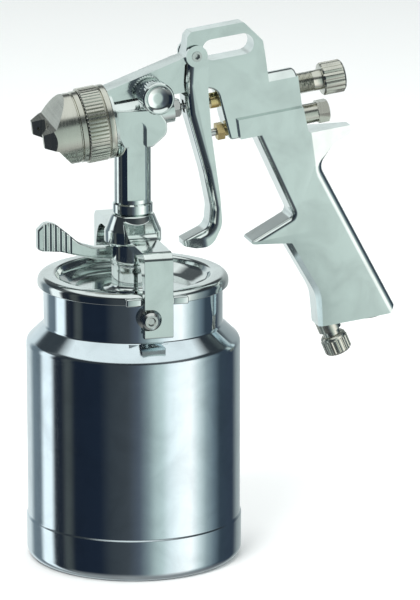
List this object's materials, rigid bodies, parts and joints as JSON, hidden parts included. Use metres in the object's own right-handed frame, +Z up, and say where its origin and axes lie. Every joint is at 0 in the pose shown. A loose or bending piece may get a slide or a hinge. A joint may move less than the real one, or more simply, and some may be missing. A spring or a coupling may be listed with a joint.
{
  "type": "siphon feed spray gun",
  "caption": "Siphon-feed low-pressure paint spray gun with a trigger, knurled controls, air cap, and an aluminium cup held under it by a cam lever and yoke.",
  "frame": {"origin": "centre of the cup's flat base", "axes": "+Z up along the cup's axis, -X the way the nozzle points, -Y the side with the fan knob"},
  "size_m": [0.1832, 0.1052, 0.2616],
  "materials": {
    "plated_casting": "bright nickel-chrome plated casting, polished",
    "polished_bar": "bright plated, polished",
    "satin_nickel": "satin nickel plate, fine machined lines",
    "needle_steel": "ground stainless steel",
    "spring_steel": "drawn spring wire",
    "screw_steel": "nickel plated screw steel",
    "bare_brass": "machined brass",
    "brushed_cup": "spun aluminium, lathe brushed, polished neck",
    "polished_lid": "polished pressed lid",
    "plastic_seal": "white sealing plastic"
  },
  "bodies": {
    "gun": {"gun_body": "plated_casting", "fluid_leg": "plated_casting", "fluid_nozzle": "satin_nickel", "air_baffle": "bare_brass", "needle_packing": "plastic_seal", "needle_packing_nut": "screw_steel", "needle_guide": "bare_brass", "needle_spring": "spring_steel", "trigger_pin": "screw_steel", "trigger_pin_nut": "screw_steel", "fan_bush": "bare_brass", "valve_packing_nut": "bare_brass", "valve_seat": "plastic_seal", "valve_spring": "spring_steel", "valve_plug": "satin_nickel", "control_collar": "satin_nickel", "air_inlet": "satin_nickel", "fluid_stem": "polished_bar", "stem_locknut": "bare_brass", "siphon_tube": "needle_steel", "lid": "polished_lid", "lid_gasket": "plastic_seal"},
    "cap_ring": {"cap_ring": "satin_nickel"},
    "air_cap": {"air_cap": "satin_nickel", "cap_snap_ring": "spring_steel"},
    "needle": {"needle": "needle_steel"},
    "needle_knob": {"needle_knob": "satin_nickel"},
    "trigger": {"trigger": "plated_casting"},
    "fan_knob": {"fan_knob": "polished_bar", "fan_stem": "screw_steel"},
    "valve_stem": {"valve_stem": "needle_steel"},
    "control_knob": {"control_knob": "satin_nickel", "control_stem": "screw_steel"},
    "coupling_nut": {"coupling_nut": "polished_bar"},
    "cam_lever": {"cam_lever": "polished_bar"},
    "yoke": {"yoke": "polished_bar"},
    "cup": {"cup": "brushed_cup", "cup_studs": "screw_steel"}
  },
  "joints": [
    {"name": "trigger_pull", "type": "hinge", "parent": "gun", "child": "trigger", "pos_m": [0.02985, 0, 0.24684], "axis": [0, -1, 0], "range_deg": [0, 12], "stiffness_Nm_per_rad": 0.6},
    {"name": "needle_slide", "type": "slide", "parent": "gun", "child": "needle", "axis": [0.9903, 0, 0.1392], "range_m": [0, 0.0056], "deforming": ["needle_spring"]},
    {"name": "valve_stem_slide", "type": "slide", "parent": "gun", "child": "valve_stem", "axis": [0.9903, 0, 0.1392], "range_m": [0, 0.00889], "deforming": ["valve_spring"]},
    {"name": "needle_knob_turn", "type": "hinge", "parent": "gun", "child": "needle_knob", "pos_m": [0.09388, 0, 0.23099], "axis": [0.9903, 0, 0.1392], "continuous": true},
    {"name": "fan_knob_turn", "type": "hinge", "parent": "gun", "child": "fan_knob", "pos_m": [0.00771, -0.016, 0.22979], "axis": [0, -1, 0], "range_deg": [-90, 450]},
    {"name": "air_control_turn", "type": "hinge", "parent": "gun", "child": "control_knob", "pos_m": [0.09799, 0, 0.10979], "axis": [0.3907, 0, -0.9205], "range_deg": [-180, 450]},
    {"name": "cap_ring_turn", "type": "hinge", "parent": "gun", "child": "cap_ring", "pos_m": [-0.01882, 0, 0.21516], "axis": [0.9903, 0, 0.1392], "continuous": true},
    {"name": "air_cap_turn", "type": "hinge", "parent": "gun", "child": "air_cap", "pos_m": [-0.03169, 0, 0.21335], "axis": [0.9903, 0, 0.1392], "continuous": true},
    {"name": "coupling_nut_turn", "type": "hinge", "parent": "gun", "child": "coupling_nut", "pos_m": [0, 0, 0.1733], "axis": [0, 0, 1], "continuous": true},
    {"name": "cam_lever_turn", "type": "hinge", "parent": "gun", "child": "cam_lever", "pos_m": [0, 0, 0.151], "axis": [0, 0, 1], "range_deg": [0, 55]},
    {"name": "yoke_drop", "type": "slide", "parent": "gun", "child": "yoke", "axis": [0, 0, -1], "range_m": [0, 0.00102]},
    {"name": "cup_twist", "type": "hinge", "parent": "gun", "child": "cup", "pos_m": [0, 0, 0], "axis": [0, 0, 1], "range_deg": [-30, 0]}
  ],
  "couplings": [
    {"joint": "needle_slide", "follows": "trigger_pull", "m_per_rad": 0.0265},
    {"joint": "valve_stem_slide", "follows": "trigger_pull", "m_per_rad": 0.0422},
    {"joint": "yoke_drop", "follows": "cam_lever_turn", "m_per_rad": 0.0010376}
  ]
}
